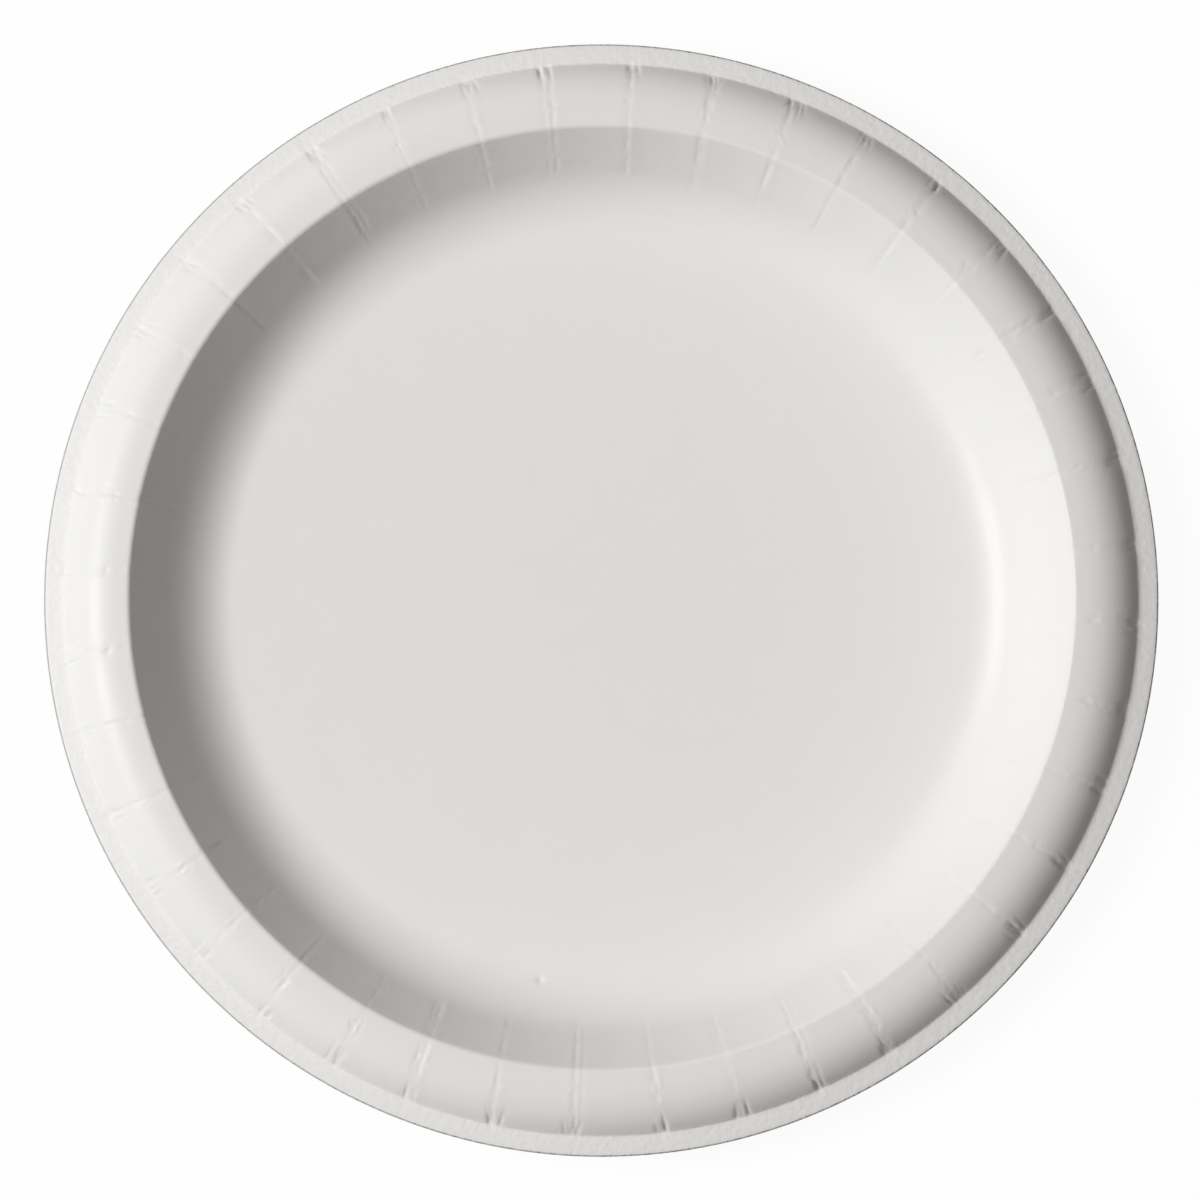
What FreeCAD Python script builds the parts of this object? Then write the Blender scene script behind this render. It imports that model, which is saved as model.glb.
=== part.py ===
import FreeCAD, Part
import math
import os
import Sketcher

# A round disposable plate, pressed from one blank of white paperboard. Lengths are millimetres
# and angles are degrees. The origin is the middle of the underside of the floor, and Z is up.
#
# Going outwards, the board leaves the flat floor, bends up into the wall, turns over a tight
# shoulder, runs out as a nearly level band, breaks over a faint step, rolls down over the rim
# and ends in a narrow lip. Board bends one way only, so the blank is gathered in creases all
# around: the board dips into each crease and runs straight from it to the middle of the panel
# on either side.

SIZES = {
    "board_caliper": 0.45,  # thickness of the board
    "floor_radius": 75.8,  # flat of the floor
    "corner_radius": 16.2,  # bend from the floor into the wall
    "wall_length": 12.45,  # straight of the wall, along its slope
    "wall_rise": 55.0,  # slope of the wall, upwards
    "shoulder_radius": 0.8,  # tight bend over the top of the wall, on the underside
    "band_length": 4.1,  # level band behind the shoulder
    "band_fall": 5.5,  # slope of the band: from here on the board runs downwards
    "apron_length": 1.1,  # short straight from the step to the rim's curve
    "apron_fall": 14.0,
    "rim_radius": 11.8,  # rolled rim, on the underside
    "skirt_length": 0.4,  # steepest stretch, at the foot of the rim
    "skirt_fall": 56.0,
    "turn_radius": 0.7,  # hollow turn from the rim into the lip
    "lip_length": 4.1,  # lip, along its slope
    "lip_fall": 12.5,
    "crease_count": 40,
    "crease_first_angle": 5.9,  # from X, towards Y
    "crease_opening": 0.4,  # how much wider the corner bend is along a crease
    "crease_tuck": 0.55,  # how much shorter the wall is along a crease
}

ABOVE, BELOW = 1, -1
UP, DOWN = 1, -1
# The board's path outwards from the floor. A bend has the radius of its inner face and the side
# its centre is on, and a straight has a length, a slope and whether it rises.
PATH = (
    ("corner", "bend", "corner_radius", ABOVE),
    ("wall", "straight", "wall_length", "wall_rise", UP),
    ("shoulder", "bend", "shoulder_radius", BELOW),
    ("band", "straight", "band_length", "band_fall", DOWN),
    ("apron", "straight", "apron_length", "apron_fall", DOWN),
    ("rim", "bend", "rim_radius", BELOW),
    ("skirt", "straight", "skirt_length", "skirt_fall", DOWN),
    ("turn", "bend", "turn_radius", ABOVE),
    ("lip", "straight", "lip_length", "lip_fall", DOWN),
)
BENDS = [part for part in PATH if part[1] == "bend"]
STRAIGHTS = [part for part in PATH if part[1] == "straight"]
# What differs along a crease: the wall stands back a little, and all beyond it is pulled down.
CREASE_CHANGES = {
    "corner_radius": (1, "crease_opening"),
    "wall_length": (-1, "crease_tuck"),
}
START, END, CENTRE = 1, 2, 3  # point numbers of a sketch element
ORIGIN = (-1, START)
HORIZONTAL_AXIS = -1

os.makedirs("parts", exist_ok=True)
doc = FreeCAD.newDocument("paper_plate")

sheet = doc.addObject("Spreadsheet::Sheet", "Sizes")
for row, (alias, number) in enumerate(SIZES.items(), start=1):
    sheet.set(f"A{row}", alias)
    sheet.set(f"B{row}", str(number))
    sheet.setAlias(f"B{row}", alias)
doc.recompute()


def value(alias):
    return float(sheet.get(alias))


def along(slope):
    """The way the path runs at a slope in degrees."""
    return FreeCAD.Vector(math.cos(math.radians(slope)), math.sin(math.radians(slope)), 0)


def square_to(slope):
    """The way square to the path, towards the board's upper face."""
    return along(slope + 90)


def next_slope(place):
    """The slope of the first straight from this place in the path on."""
    straight = next(part for part in PATH[place:] if part[1] == "straight")
    return straight[4] * value(straight[3])


def measure(alias, creased):
    """A length at a crease or along a panel, and the words that give it from the sheet."""
    length, words = value(alias), f"Sizes.{alias}"
    if creased and alias in CREASE_CHANGES:
        way, change = CREASE_CHANGES[alias]
        length += way * value(change)
        words += f" + {way} * Sizes.{change}"
    return length, words


def measure_bend(alias, side, is_upper, creased):
    """The radius of a bend on one face. The bend's own size is the radius of its inner face."""
    radius, words = measure(alias, creased)
    if is_upper != (side == ABOVE):
        radius += value("board_caliper")
        words += " + Sizes.board_caliper"
    return radius, words


def draw_face(sketch, is_upper, creased):
    """Draws the path of one face of the board, and returns its elements by name.

    The fold at the step is drawn as if the board had no thickness: the constraints mend that.
    """
    here = FreeCAD.Vector(value("floor_radius"), value("board_caliper") if is_upper else 0.0, 0)
    slope = 0.0
    elements = {}
    for place, (name, kind, alias, *rest) in enumerate(PATH):
        to_slope = next_slope(place)
        if kind == "bend":
            side = rest[0]
            radius, _ = measure_bend(alias, side, is_upper, creased)
            centre = here + square_to(slope) * (side * radius)
            span = sorted(math.radians(s - 90 * side) for s in (slope, to_slope))
            circle = Part.Circle(centre, FreeCAD.Vector(0, 0, 1), radius)
            elements[name] = sketch.addGeometry(Part.ArcOfCircle(circle, *span))
            here = centre - square_to(to_slope) * (side * radius)
        else:
            there = here + along(to_slope) * measure(alias, creased)[0]
            elements[name] = sketch.addGeometry(Part.LineSegment(here, there))
            here = there
        slope = to_slope
    return elements


def ends(part):
    """The point numbers of an element's inner and outer end: arcs always run anticlockwise."""
    runs_back = part[1] == "bend" and part[3] == BELOW
    return (END, START) if runs_back else (START, END)


def hold(sketch, kind, *places):
    sketch.addConstraint(Sketcher.Constraint(kind, *places))


def size(sketch, kind, *places, start, words):
    """Adds a dimension at its starting value and ties it to the sheet."""
    index = sketch.addConstraint(Sketcher.Constraint(kind, *places, start))
    sketch.setExpression(f"Constraints[{index}]", words)


def join_face(sketch, face):
    """Joins the elements of one face: smoothly at a bend, and at a corner where straights meet."""
    for part, following in zip(PATH, PATH[1:]):
        kind = "Coincident" if part[1] == following[1] else "Tangent"
        places = (face[part[0]], ends(part)[1], face[following[0]], ends(following)[0])
        hold(sketch, kind, *places)


def size_bends(sketch, face, is_upper, creased):
    for name, _, alias, side in BENDS:
        radius, words = measure_bend(alias, side, is_upper, creased)
        size(sketch, "Radius", face[name], start=radius, words=words)


def size_straights(sketch, face, creased):
    for name, _, alias, slope_alias, way in STRAIGHTS:
        length, words = measure(alias, creased)
        size(sketch, "Distance", face[name], start=length, words=words)
        slope = math.radians(way * value(slope_alias))
        words = f"{way} * Sizes.{slope_alias} * 1 deg"
        size(sketch, "Angle", face[name], start=slope, words=words)


def close_section(sketch, lower, upper, place):
    """Draws the line between the two faces at one end of the section."""
    corners = [sketch.getPoint(element, place) for element in (lower, upper)]
    line = sketch.addGeometry(Part.LineSegment(*corners))
    hold(sketch, "Coincident", line, START, lower, place)
    hold(sketch, "Coincident", line, END, upper, place)
    return line


def draw_section(label, creased):
    """The board from the floor's edge outwards, cut through the plate's axis."""
    sketch = doc.addObject("Sketcher::SketchObject", label)
    sketch.Placement.Rotation = FreeCAD.Rotation(FreeCAD.Vector(1, 0, 0), 90)
    upper = draw_face(sketch, True, creased)
    lower = draw_face(sketch, False, creased)
    for face, is_upper in ((upper, True), (lower, False)):
        join_face(sketch, face)
        size_bends(sketch, face, is_upper, creased)
    size_straights(sketch, upper, creased)
    for name, *_ in BENDS:
        hold(sketch, "Coincident", upper[name], CENTRE, lower[name], CENTRE)
    for name in ("band", "apron"):
        hold(sketch, "Parallel", upper[name], lower[name])
    edge = close_section(sketch, lower["lip"], upper["lip"], END)
    for face in (lower, upper):
        hold(sketch, "Perpendicular", edge, face["lip"])
    foot = close_section(sketch, lower["corner"], upper["corner"], START)
    hold(sketch, "Vertical", foot)
    hold(sketch, "Vertical", upper["corner"], START, upper["corner"], CENTRE)
    hold(sketch, "PointOnObject", lower["corner"], START, HORIZONTAL_AXIS)
    floor_edge = (*ORIGIN, lower["corner"], START)
    radius = value("floor_radius")
    size(sketch, "DistanceX", *floor_edge, start=radius, words="Sizes.floor_radius")
    return sketch


def turned(item, words):
    """Turns an object about the plate's axis to the angle that words give, in degrees."""
    item.Placement.Rotation = FreeCAD.Rotation(FreeCAD.Vector(0, 0, 1), 1)
    item.setExpression("Placement.Rotation.Angle", f"({words}) * 1 deg")
    return item


def make_wall_and_rim():
    """The board outside the floor, from a section at each crease and at each panel's middle."""
    crease = draw_section("crease_section", True)
    panel = draw_section("panel_section", False)
    sections = []
    for number in range(int(value("crease_count"))):
        for kind, section, place in (("crease", crease, 0.0), ("panel", panel, 0.5)):
            placed = doc.addObject("App::Link", f"{kind}_{number}")
            placed.LinkedObject = section
            placed.LinkTransform = True
            turn = f"{number + place} * 360 / Sizes.crease_count"
            sections.append(turned(placed, f"Sizes.crease_first_angle + {turn}"))
    ring = doc.addObject("Part::Loft", "wall_and_rim")
    ring.Sections = sections
    ring.Solid = ring.Ruled = ring.Closed = True
    return ring


def make_floor():
    """The flat floor, with a corner at the foot of each section of the wall."""
    floor = doc.addObject("Part::Prism", "floor")
    floor.setExpression("Polygon", "2 * Sizes.crease_count")
    floor.setExpression("Circumradius", "Sizes.floor_radius")
    floor.setExpression("Height", "Sizes.board_caliper")
    return turned(floor, "Sizes.crease_first_angle")


plate = doc.addObject("Part::Fuse", "plate")
plate.Base = make_wall_and_rim()
plate.Tool = make_floor()
doc.recompute()

for item in doc.Objects:
    assert not {"Invalid", "Error"} & set(item.State), item.Label
for item in (plate,):
    assert not item.Shape.isNull() and item.Shape.isValid(), item.Label
    assert len(item.Shape.Solids) == 1, item.Label
    item.Shape.exportStep(f"parts/{item.Label}.step")
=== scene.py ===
import math
import random

import bmesh
import bpy
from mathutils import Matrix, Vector, noise


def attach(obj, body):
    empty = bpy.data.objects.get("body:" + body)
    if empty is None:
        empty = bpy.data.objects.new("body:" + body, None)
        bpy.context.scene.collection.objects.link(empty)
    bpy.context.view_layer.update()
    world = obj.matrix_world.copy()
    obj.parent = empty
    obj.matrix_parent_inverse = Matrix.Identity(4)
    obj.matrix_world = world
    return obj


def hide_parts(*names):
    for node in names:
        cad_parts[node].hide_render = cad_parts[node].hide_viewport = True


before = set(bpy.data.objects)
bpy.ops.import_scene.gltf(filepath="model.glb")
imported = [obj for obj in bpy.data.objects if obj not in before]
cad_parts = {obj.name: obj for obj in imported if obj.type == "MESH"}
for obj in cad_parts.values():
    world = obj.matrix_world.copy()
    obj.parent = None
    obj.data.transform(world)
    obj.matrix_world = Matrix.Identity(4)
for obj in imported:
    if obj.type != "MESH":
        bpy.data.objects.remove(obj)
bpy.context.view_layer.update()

# A round disposable plate, pressed from one blank of white paperboard, seen from above. Lengths
# are metres and angles are radians, except the slopes in PATH, which are degrees. The origin is
# the middle of the underside of the floor, and Z is up.

MM = 0.001

# The board
CALIPER = 0.45 * MM
FLOOR_RADIUS = 75.8 * MM
FLOOR_RINGS = 3
EDGE_ROUND = 0.4 * MM  # rounding of the cut edge above

# The upper face outwards from the floor: name, radius or length, slope at its outer end, rings.
# A bend turns from the slope before it to its own, and a straight runs at its own slope.
BEND, STRAIGHT = "bend", "straight"
PATH = (
    ("corner", BEND, 16.2 * MM, 55.0, 10),
    ("wall", STRAIGHT, 12.45 * MM, 55.0, 11),
    ("shoulder", BEND, 1.25 * MM, -2.5, 5),
    ("band", STRAIGHT, 2.0 * MM, -2.5, 3),
    ("apron", BEND, 19.3 * MM, -12.0, 6),
    ("rim", BEND, 11.7 * MM, -56.0, 14),
    ("skirt", STRAIGHT, 0.4 * MM, -56.0, 1),
    ("turn", BEND, 0.7 * MM, -11.0, 3),
    ("lip", STRAIGHT, 4.05 * MM - EDGE_ROUND, -11.0, 5),
)

# The creases
CREASES = 40
FIRST_CREASE = math.radians(5.9)
PITCH = math.tau / CREASES
COLUMNS_PER_PANEL = 24
FINE_SHARE = 2 / 3  # share of the columns that stand close together beside a crease
FINE_SPACING = 0.46  # spacing of those columns, as a share of the even spacing

WHITE = (1.0, 1.0, 1.0, 1.0)


def way(slope):
    """The way the path runs at a slope: outwards and up."""
    return Vector((math.cos(slope), math.sin(slope)))


def square(slope):
    """The way square to the path, towards the upper face."""
    return Vector((-math.sin(slope), math.cos(slope)))


def ramp(low, high, x):
    """0 below low, 1 above high and smooth between."""
    t = min(max((x - low) / (high - low), 0.0), 1.0)
    return t * t * (3 - 2 * t)


def hump(x, middle, width):
    """1 at the middle, and falls off smoothly on both sides."""
    return math.exp(-(((x - middle) / width) ** 2))


class Station:
    """A ring of the upper face: its place in the section, its slope and its distance outwards."""

    def __init__(self, place, slope, distance):
        self.place = place
        self.slope = slope
        self.distance = distance


def lay_stations():
    """The rings of the upper face from the middle of the floor to the lip's edge."""
    here = Vector((0.0, CALIPER))
    stations = [Station(here.copy(), 0.0, 0.0)]
    for ring in range(1, FLOOR_RINGS + 1):
        radius = FLOOR_RADIUS * ring / FLOOR_RINGS
        stations.append(Station(Vector((radius, CALIPER)), 0.0, radius))
    here = stations[-1].place
    slope, distance = 0.0, FLOOR_RADIUS
    starts = {}
    for name, kind, size, end_slope, rings in PATH:
        starts[name] = distance
        to_slope = math.radians(end_slope)
        if kind == BEND:
            side = 1 if to_slope > slope else -1
            centre = here + square(slope) * side * size
            length = size * abs(to_slope - slope)
            for ring in range(1, rings + 1):
                turned = slope + (to_slope - slope) * ring / rings
                place = centre - square(turned) * side * size
                stations.append(Station(place, turned, distance + length * ring / rings))
        else:
            length = size
            for ring in range(1, rings + 1):
                place = here + way(to_slope) * (length * ring / rings)
                stations.append(Station(place, to_slope, distance + length * ring / rings))
        here = stations[-1].place
        slope = to_slope
        distance += length
    starts["end"] = distance
    return stations, starts


STATIONS, STARTS = lay_stations()


# The creases' run: how far they are out of true, and how long their waves are
CREASE_SCATTER = math.radians(0.16)
CREASE_LEAN = math.radians(0.3)
CREASE_WANDER = math.radians(0.16)
WANDER_LENGTH = 5 * MM
PATCH_LENGTH = 2.5 * MM  # of the stretches that are pressed harder or softer

# The creases' relief
CREASE_START = STARTS["corner"] + 11.3 * MM
CREASE_FADE = 4 * MM
CREASE_WIDTH = 0.6 * MM
CREASE_DEPTH = 0.14 * MM
CREASE_LEFT_ON_LIP = 0.2  # share of the depth
BANK_SHARE = 0.2  # height of the bank beside a crease, as a share of the crease's depth

# The pleats at the foot of the rim
PLEAT_WIDTH = 0.32 * MM
PLEAT_DEEPEST = STARTS["turn"] - 1.4 * MM
PLEAT_FADE = STARTS["turn"] - 0.8 * MM
PLEAT_END = STARTS["lip"] + 0.3 * MM

# The specks where a crease crosses the step between the band and the rim
STEP = STARTS["apron"] + 2.1 * MM
SPECK_SIZE = 0.8 * MM
SPECK_HEIGHT = 0.3 * MM
SPECKLED_LENGTH = 1.2 * MM
SPECKLED_WIDTH = 1.5 * MM

# The fine crumpling of the face
CRUMPLED_WIDTH = 2.4 * MM
CRUMPLED_BESIDE = 0.6  # beside a crease, as a share of the lip's
CRUMPLED_START = STARTS["turn"] - 1.5 * MM

# The slow sag of the rim
SAG = 0.1 * MM
SAG_LEAST = 0.8
SAG_WAVES = 1.6
SAG_LENGTH = 30 * MM


class Pleat:
    """A short fold beside a crease, at the foot of the rim."""

    def __init__(self, dice):
        self.aside = dice.uniform(-2.1, 2.1) * MM
        self.lean = dice.uniform(-0.2, 0.2)
        self.start = STARTS["turn"] - dice.uniform(3.0, 8.0) * MM
        self.depth = dice.uniform(0.07, 0.22) * MM

    def height(self, aside, distance):
        middle = self.aside + self.lean * (STARTS["turn"] - distance)
        rise = ramp(self.start, PLEAT_DEEPEST, distance)
        fall = 1 - ramp(PLEAT_FADE, PLEAT_END, distance)
        return -self.depth * rise * fall * hump(aside, middle, PLEAT_WIDTH)


class Crease:
    """One crease of the board: where it runs, and how strongly it and its pleats show."""

    def __init__(self, dice):
        self.turn = dice.gauss(0.0, CREASE_SCATTER)
        self.lean = dice.gauss(0.0, CREASE_LEAN)
        self.depth = dice.uniform(0.55, 1.0)
        self.bank = dice.choice((-1, 1)) * dice.uniform(0.8, 1.2) * MM
        self.second = dice.choice((-1, 1)) * dice.uniform(0.9, 1.5) * MM
        self.second_depth = dice.choice((0.2, 0.45, 0.7))
        self.specks = dice.uniform(0.3, 1.0)
        self.seed = dice.uniform(0.0, 100.0)
        self.pleats = [Pleat(dice) for _ in range(dice.randint(4, 6))]

    def offset(self, distance):
        """How far the crease runs off its even place, as an angle about the plate's axis."""
        along = (distance - STARTS["wall"]) / (STARTS["end"] - STARTS["wall"])
        wander = noise.noise(Vector((distance / WANDER_LENGTH, self.seed, 0.0)))
        return self.turn + self.lean * (along - 0.5) + CREASE_WANDER * wander

    def patch(self, distance):
        """The crease is pressed harder in some stretches than in others."""
        uneven = noise.noise(Vector((distance / PATCH_LENGTH, self.seed, 7.0)))
        return min(max(0.7 + 1.4 * uneven, 0.1), 1.4)


def roll_creases():
    dice = random.Random(40)
    return [Crease(dice) for _ in range(CREASES)]


ALL_CREASES = roll_creases()


def crease_strength(distance):
    """How deep a crease is pressed, from where it starts on the corner to the lip's edge."""
    fade_in = ramp(CREASE_START, CREASE_START + CREASE_FADE, distance)
    on_lip = ramp(STARTS["turn"], STARTS["lip"] + 1 * MM, distance)
    return fade_in * (1 - (1 - CREASE_LEFT_ON_LIP) * on_lip)


def speckle(crease, aside, distance):
    """Small dents and bumps where a crease crosses the step."""
    near = hump(distance, STEP, SPECKLED_LENGTH) * hump(aside, 0.0, SPECKLED_WIDTH)
    where = Vector((aside / SPECK_SIZE, distance / SPECK_SIZE, crease.seed))
    return SPECK_HEIGHT * crease.specks * near * noise.noise(where)


def relief(crease, aside, distance):
    """How far the board stands above its even path, at a distance aside of a crease."""
    depth = CREASE_DEPTH * crease.depth * crease_strength(distance) * crease.patch(distance)
    groove = hump(aside, 0.0, CREASE_WIDTH)
    second = crease.second_depth * hump(aside, crease.second, CREASE_WIDTH)
    bank = BANK_SHARE * hump(aside, crease.bank, CREASE_WIDTH)
    pleats = sum(pleat.height(aside, distance) for pleat in crease.pleats)
    return depth * (bank - groove - second) + pleats + speckle(crease, aside, distance)


def crumpling(aside, distance):
    """How much the face of the board is roughened: beside a crease, and along the lip."""
    beside = crease_strength(distance) * hump(aside, 0.0, CRUMPLED_WIDTH)
    on_lip = ramp(CRUMPLED_START, STARTS["lip"], distance)
    return max(CRUMPLED_BESIDE * beside, on_lip)


def sway(angle, distance):
    """How far the rim's slow sag, uneven all around, moves the board."""
    outwards = ramp(STARTS["wall"], STARTS["rim"], distance)
    around = Vector((math.cos(angle), math.sin(angle), 0.0)) * SAG_WAVES
    uneven = noise.noise(around + Vector((0.0, 0.0, distance / SAG_LENGTH)))
    return -SAG * outwards * (SAG_LEAST + uneven)


def column_turn(column):
    """The angle of a column from the crease nearest to it, and that crease's number."""
    number = round(column / COLUMNS_PER_PANEL)
    share = column / COLUMNS_PER_PANEL - number
    even = 2 * abs(share)
    coarse = max(even - FINE_SHARE, 0.0) / (1 - FINE_SHARE)
    crowded = FINE_SPACING * even + (1 - FINE_SPACING) * coarse**2
    return number % CREASES, math.copysign(crowded * PITCH / 2, share)


def section_corners():
    """The closed section of the board: each corner's station, depth below the face and bulge."""
    last = len(STATIONS) - 1
    upper = [(station, 0.0, 0.0) for station in range(last + 1)]
    edge = []
    for turned in (math.radians(30), math.radians(60), math.radians(90)):
        below = EDGE_ROUND * (1 - math.cos(turned))
        edge.append((last, below, EDGE_ROUND * math.sin(turned)))
    edge.append((last, 0.9 * CALIPER, 0.8 * EDGE_ROUND))
    lower = [(station, CALIPER, 0.0) for station in range(last, 0, -2)]
    return upper + edge + lower + [(0, CALIPER, 0.0)]


def spin_board():
    """Spins the section about the plate's axis, and keeps each corner's number in a layer."""
    board = bmesh.new()
    number = board.verts.layers.int.new("corner")
    corners = section_corners()
    verts = []
    for index, (station, below, bulge) in enumerate(corners):
        at = STATIONS[station]
        place = at.place - square(at.slope) * below + way(at.slope) * bulge
        vert = board.verts.new((place.x, 0.0, place.y))
        vert[number] = index
        verts.append(vert)
    edges = [board.edges.new(pair) for pair in zip(verts, verts[1:])]
    axis = {"cent": (0, 0, 0), "axis": (0, 0, 1)}
    bmesh.ops.spin(board, geom=verts + edges, angle=PITCH, steps=COLUMNS_PER_PANEL, **axis)
    panel = board.verts[:] + board.edges[:] + board.faces[:]
    others = CREASES - 1
    bmesh.ops.spin(
        board, geom=panel, angle=others * PITCH, steps=others, use_duplicate=True, **axis
    )
    bmesh.ops.remove_doubles(board, verts=board.verts, dist=0.001 * MM)
    bmesh.ops.recalc_face_normals(board, faces=board.faces)
    return board, number, corners


def press_board(board, number, corners):
    """Moves each corner of the even board to where the creases and pleats leave it."""
    step = math.tau / (CREASES * COLUMNS_PER_PANEL)
    crumpled = board.verts.layers.float.new("crumpled")
    for vert in board.verts:
        station, below, bulge = corners[vert[number]]
        at = STATIONS[station]
        if at.distance < CALIPER:
            continue
        column = round((math.atan2(vert.co.y, vert.co.x) % math.tau) / step)
        index, beside = column_turn(column)
        crease = ALL_CREASES[index]
        follow = ramp(FLOOR_RADIUS, STARTS["wall"], at.distance)
        run = crease.offset(at.distance) * follow * (1 - abs(beside) / (PITCH / 2))
        angle = FIRST_CREASE + index * PITCH + beside + run
        lift = sway(angle, at.distance)
        if at.distance > CREASE_START:
            aside = beside * at.place.x
            lift += relief(crease, aside, at.distance)
            vert[crumpled] = crumpling(aside, at.distance)
        place = at.place + square(at.slope) * (lift - below) + way(at.slope) * bulge
        vert.co = (place.x * math.cos(angle), place.x * math.sin(angle), place.y)


UPPER_FACE, CUT_EDGE, UNDERSIDE = 0, 1, 2


def sort_faces(board, number, corners):
    """Gives each face the finish of the side of the board that it lies on."""
    for face in board.faces:
        depths = [corners[vert[number]][1] for vert in face.verts]
        if max(depths) == 0.0:
            face.material_index = UPPER_FACE
        elif min(depths) == CALIPER:
            face.material_index = UNDERSIDE
        else:
            face.material_index = CUT_EDGE
        face.smooth = True


DENT_PLACE = Vector((-12.6 * MM, -78.0 * MM, 0.0))
DENT_WIDTH = 0.75 * MM
DENT_DEPTH = 0.24 * MM
DENT_PATCH = 3 * MM
DENT_CUTS = 5


def dent_board(board):
    """A small dent where the floor turns up, in a patch of finer faces."""
    near = [
        face
        for face in board.faces
        if face.material_index == UPPER_FACE
        and (face.calc_center_median() - DENT_PLACE).length < DENT_PATCH
    ]
    edges = list({edge for face in near for edge in face.edges})
    bmesh.ops.subdivide_edges(board, edges=edges, cuts=DENT_CUTS, use_grid_fill=True)
    for vert in board.verts:
        gap = (vert.co.xy - DENT_PLACE.xy).length
        if gap < 3 * DENT_WIDTH:
            vert.co.z -= DENT_DEPTH * hump(gap, 0.0, DENT_WIDTH)


def make_plate():
    board, number, corners = spin_board()
    press_board(board, number, corners)
    sort_faces(board, number, corners)
    dent_board(board)
    mesh = bpy.data.meshes.new("pressed_plate")
    board.to_mesh(mesh)
    board.free()
    plate = bpy.data.objects.new("pressed_plate", mesh)
    bpy.context.scene.collection.objects.link(plate)
    return plate


class Shade:
    """A socket of a node tree. Sums of it add Math nodes, and node() adds any other node."""

    def __init__(self, tree, socket=None):
        self.tree = tree
        self.socket = socket

    def node(self, kind, settings=None, inputs=None, output=0):
        """Adds a node: its settings come first, then a number or a link for each input."""
        made = self.tree.nodes.new(kind)
        for name, setting in (settings or {}).items():
            setattr(made, name, setting)
        for name, given in (inputs or {}).items():
            if isinstance(given, Shade):
                self.tree.links.new(given.socket, made.inputs[name])
            else:
                made.inputs[name].default_value = given
        return Shade(self.tree, made.outputs[output] if made.outputs else None)

    def math(self, operation, *numbers):
        return self.node("ShaderNodeMath", {"operation": operation}, dict(enumerate(numbers)))

    def __add__(self, other):
        return self.math("ADD", self, other)

    __radd__ = __add__

    def __mul__(self, other):
        return self.math("MULTIPLY", self, other)

    __rmul__ = __mul__

    def __sub__(self, other):
        return self.math("SUBTRACT", self, other)

    def __rsub__(self, other):
        return self.math("SUBTRACT", other, self)


def new_material(name):
    material = bpy.data.materials.new(name)
    material.use_nodes = True
    material.node_tree.nodes.clear()
    return material, Shade(material.node_tree)


CLOUD_SCALE = 90.0
FOLD_SCALE = 750.0
CRUMPLE_RELIEF = 14.0  # relief of crumpled board, as a multiple of that of smooth board
MIX_FIRST, MIX_SECOND, MIX_RESULT = 6, 7, 2  # the colour sockets of a Mix node


def board_material(name, colour, dark, roughness, grain, relief_depth, specular):
    """Paperboard: a clouded colour, fine relief from its fibres, and small folds if crumpled."""
    material, tree = new_material(name)
    where = tree.node("ShaderNodeTexCoord", output="Object")
    cloud = tree.node(
        "ShaderNodeTexNoise", inputs={"Vector": where, "Scale": CLOUD_SCALE, "Detail": 3.0}
    )
    fibre = tree.node(
        "ShaderNodeTexNoise", inputs={"Vector": where, "Scale": grain, "Detail": 4.0}
    )
    folds = tree.node(
        "ShaderNodeTexNoise", inputs={"Vector": where, "Scale": FOLD_SCALE, "Detail": 2.0}
    )
    worn = tree.node("ShaderNodeAttribute", {"attribute_name": "crumpled"}, output="Fac")
    shade = tree.node(
        "ShaderNodeMix",
        {"data_type": "RGBA"},
        {
            "Factor": 0.5 * cloud + 0.3 * fibre,
            MIX_FIRST: (*colour, 1.0),
            MIX_SECOND: (*dark, 1.0),
        },
        output=MIX_RESULT,
    )
    bump = tree.node(
        "ShaderNodeBump",
        inputs={
            "Height": fibre + 1.2 * cloud + CRUMPLE_RELIEF * worn * folds,
            "Strength": 1.0,
            "Distance": relief_depth,
        },
    )
    surface = tree.node(
        "ShaderNodeBsdfPrincipled",
        inputs={
            "Base Color": shade,
            "Roughness": roughness + 0.1 * (cloud - 0.5) + 0.1 * worn,
            "Specular IOR Level": specular,
            "Normal": bump,
        },
    )
    tree.node("ShaderNodeOutputMaterial", inputs={"Surface": surface})
    return material


def finish_plate(plate):
    materials = (
        board_material(
            "coated_board", (0.85, 0.848, 0.842), (0.82, 0.818, 0.81), 0.3, 1400.0, 0.01 * MM, 0.12
        ),
        # The cut edge is darker than bare fibres alone would make it. This is partly the raw
        # edge's own greyer tone and partly painted shade, standing in for the thin dark line of
        # shade along the plate's outer edge.
        board_material(
            "cut_board_painted_shade", (0.54, 0.53, 0.515), (0.43, 0.42, 0.40), 0.8, 2500.0, 0.05 * MM, 0.2
        ),
        board_material(
            "bare_board", (0.82, 0.81, 0.785), (0.76, 0.75, 0.72), 0.75, 900.0, 0.05 * MM, 0.2
        ),
    )
    for material in materials:
        plate.data.materials.append(material)


FLOOR_SIZE = 6.0
FLOOR_DROP = 0.05 * MM
FLOOR_SEEN = 0.95  # how pale the camera sees the lit floor
FLOOR_BOUNCE = 0.45  # how pale it is to the light that it throws back
FLOOR_GLOW = 0.95  # share of what the camera sees that no shadow falls on


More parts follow.
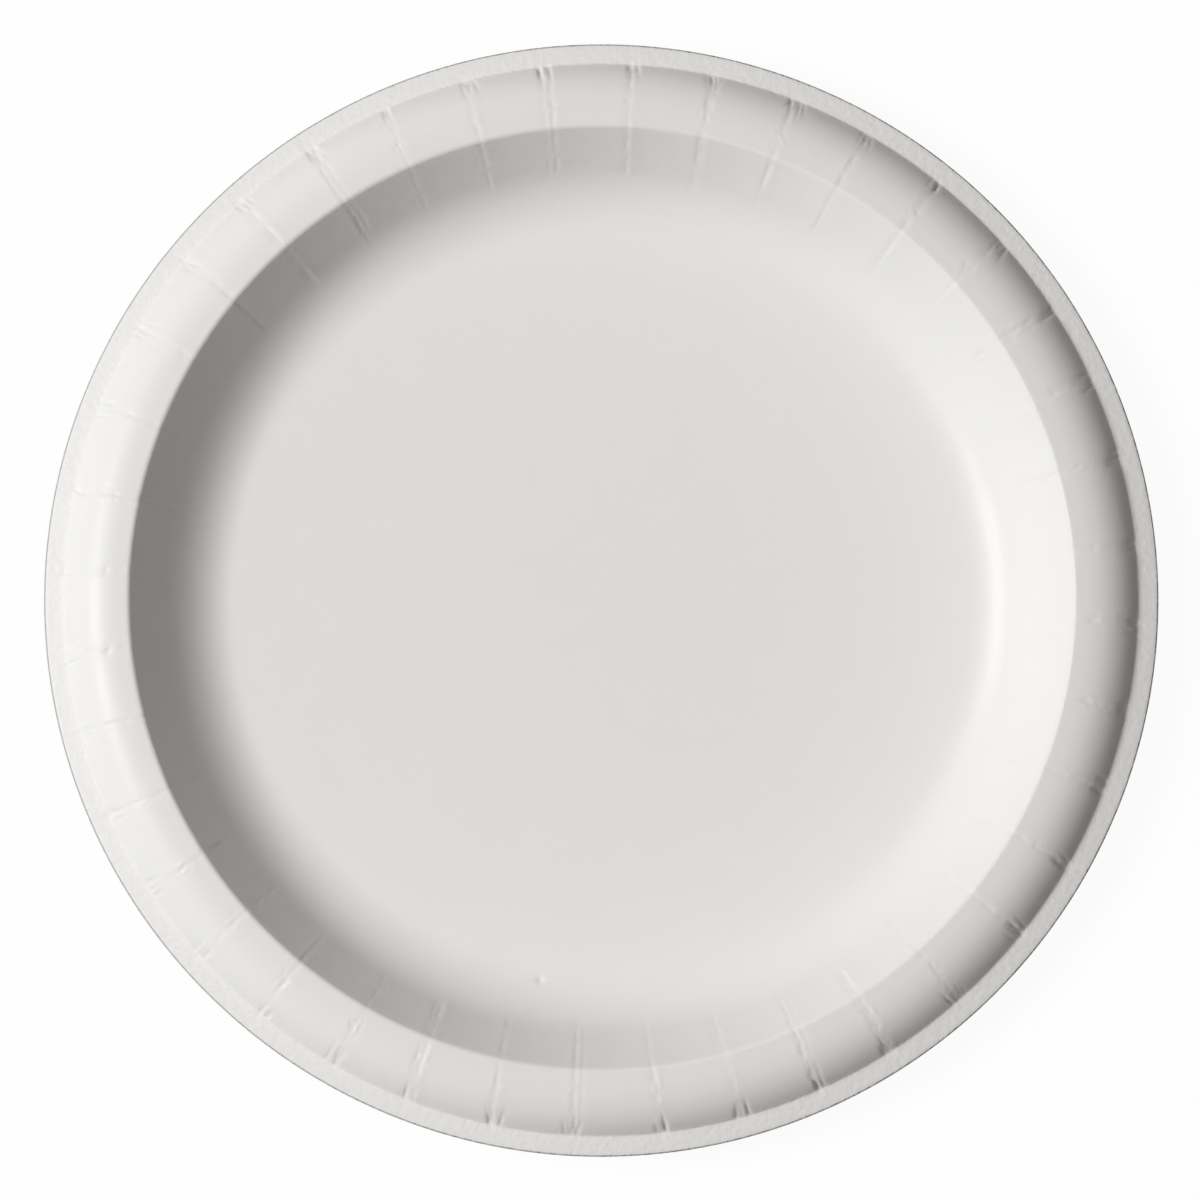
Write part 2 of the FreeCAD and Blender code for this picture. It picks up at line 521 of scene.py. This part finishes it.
def make_floor():
    """A white floor that the camera sees bright, with the plate's shadow kept faint."""
    bed = bmesh.new()
    bmesh.ops.create_grid(bed, x_segments=1, y_segments=1, size=FLOOR_SIZE / 2)
    bmesh.ops.translate(bed, verts=bed.verts, vec=(0, 0, -FLOOR_DROP))
    mesh = bpy.data.meshes.new("studio_floor")
    bed.to_mesh(mesh)
    bed.free()
    floor = bpy.data.objects.new("studio_floor", mesh)
    bpy.context.scene.collection.objects.link(floor)
    material, tree = new_material("studio_floor")
    seen = tree.node("ShaderNodeLightPath", output="Is Camera Ray")
    paleness = FLOOR_BOUNCE + (FLOOR_SEEN - FLOOR_BOUNCE) * seen
    lit = tree.node("ShaderNodeBsdfDiffuse", inputs={"Color": paleness})
    bright = tree.node("ShaderNodeEmission", inputs={"Color": WHITE, "Strength": 1.0})
    surface = tree.node("ShaderNodeMixShader", inputs={0: FLOOR_GLOW * seen, 1: lit, 2: bright})
    tree.node("ShaderNodeOutputMaterial", inputs={"Surface": surface})
    mesh.materials.append(material)


FILL_COLOUR = (1.0, 0.94, 0.84, 1.0)
FILL_LOW = 0.04  # strength of the fill at the level of the floor
FILL_TOP = 0.21  # what it gains towards straight above
FILL_LEFT = 0.08  # what it gains towards the lamp's side, and loses on the other
FILL_BACK = 0.045  # what it gains from behind the plate, and loses in front


def light_world():
    """A slightly warm fill, stronger from above and from the lamp's side, seen as white."""
    world = bpy.data.worlds.new("studio")
    world.use_nodes = True
    world.node_tree.nodes.clear()
    bpy.context.scene.world = world
    tree = Shade(world.node_tree)
    seen = tree.node("ShaderNodeLightPath", output="Is Camera Ray")
    towards = tree.node("ShaderNodeTexCoord", output="Generated")
    aside = tree.node("ShaderNodeSeparateXYZ", inputs={"Vector": towards}, output="X")
    behind = tree.node("ShaderNodeSeparateXYZ", inputs={"Vector": towards}, output="Y")
    above = tree.node("ShaderNodeSeparateXYZ", inputs={"Vector": towards}, output="Z")
    sideways = FILL_BACK * behind - FILL_LEFT * aside
    strength = FILL_LOW + FILL_TOP * above + sideways
    fill = tree.node(
        "ShaderNodeBackground",
        inputs={"Color": FILL_COLOUR, "Strength": tree.math("MAXIMUM", strength, 0.0)},
    )
    bright = tree.node("ShaderNodeBackground", inputs={"Color": WHITE, "Strength": 1.0})
    surface = tree.node("ShaderNodeMixShader", inputs={0: seen, 1: fill, 2: bright})
    tree.node("ShaderNodeOutputWorld", inputs={"Surface": surface})


KEY_AZIMUTH = math.radians(178.0)
KEY_ELEVATION = math.radians(51.0)
KEY_DISTANCE = 3.5
KEY_SIZE = 1.5
KEY_LEVEL = 0.685  # light on a level surface, where 1 shows a colour as it is written
KEY_COLOUR = (0.99, 0.993, 1.0)


def direction(azimuth, elevation):
    """From the plate outwards: azimuth from X towards Y, elevation upwards."""
    flat = math.cos(elevation)
    return Vector((flat * math.cos(azimuth), flat * math.sin(azimuth), math.sin(elevation)))


def aim(thing, place, target):
    thing.location = place
    thing.rotation_euler = (target - place).to_track_quat("-Z", "Y").to_euler()


def light_key():
    """A large soft lamp to the left of the plate."""
    lamp = bpy.data.lights.new("soft_key", "AREA")
    lamp.shape = "DISK"
    lamp.size = KEY_SIZE
    lamp.color = KEY_COLOUR
    lamp.energy = KEY_LEVEL * math.pi**2 * KEY_DISTANCE**2 / math.sin(KEY_ELEVATION)
    key = bpy.data.objects.new("soft_key", lamp)
    bpy.context.scene.collection.objects.link(key)
    aim(key, direction(KEY_AZIMUTH, KEY_ELEVATION) * KEY_DISTANCE, Vector((0, 0, 0)))


PHOTO_SIDE = 1200
PLATE_PIXEL = (601.3, 598.5)  # where the plate's middle is in the photo
PIXELS_PER_METRE = 4877.0  # in the photo, at the height of the lip
CAMERA_DISTANCE = 2.0
CAMERA_ELEVATION = math.radians(86.5)
SENSOR = 36.0


def set_camera():
    """Looks almost straight down, with the plate as large and as placed as in the photo."""
    lip_height = STATIONS[-1].place.y
    aside = (PHOTO_SIDE / 2 - PLATE_PIXEL[0]) / PIXELS_PER_METRE
    upwards = (PLATE_PIXEL[1] - PHOTO_SIDE / 2) / PIXELS_PER_METRE
    target = Vector((aside, upwards, lip_height))
    view = bpy.data.cameras.new("photo_view")
    view.sensor_width = SENSOR
    view.lens = SENSOR * CAMERA_DISTANCE * PIXELS_PER_METRE / PHOTO_SIDE
    camera = bpy.data.objects.new("photo_view", view)
    bpy.context.scene.collection.objects.link(camera)
    back = direction(math.radians(-90.0), CAMERA_ELEVATION)
    aim(camera, target + back * CAMERA_DISTANCE, target)
    bpy.context.scene.camera = camera


plate = make_plate()
finish_plate(plate)
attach(plate, "root")
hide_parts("plate")
make_floor()
light_world()
light_key()
set_camera()
bpy.context.scene.view_settings.view_transform = "Standard"
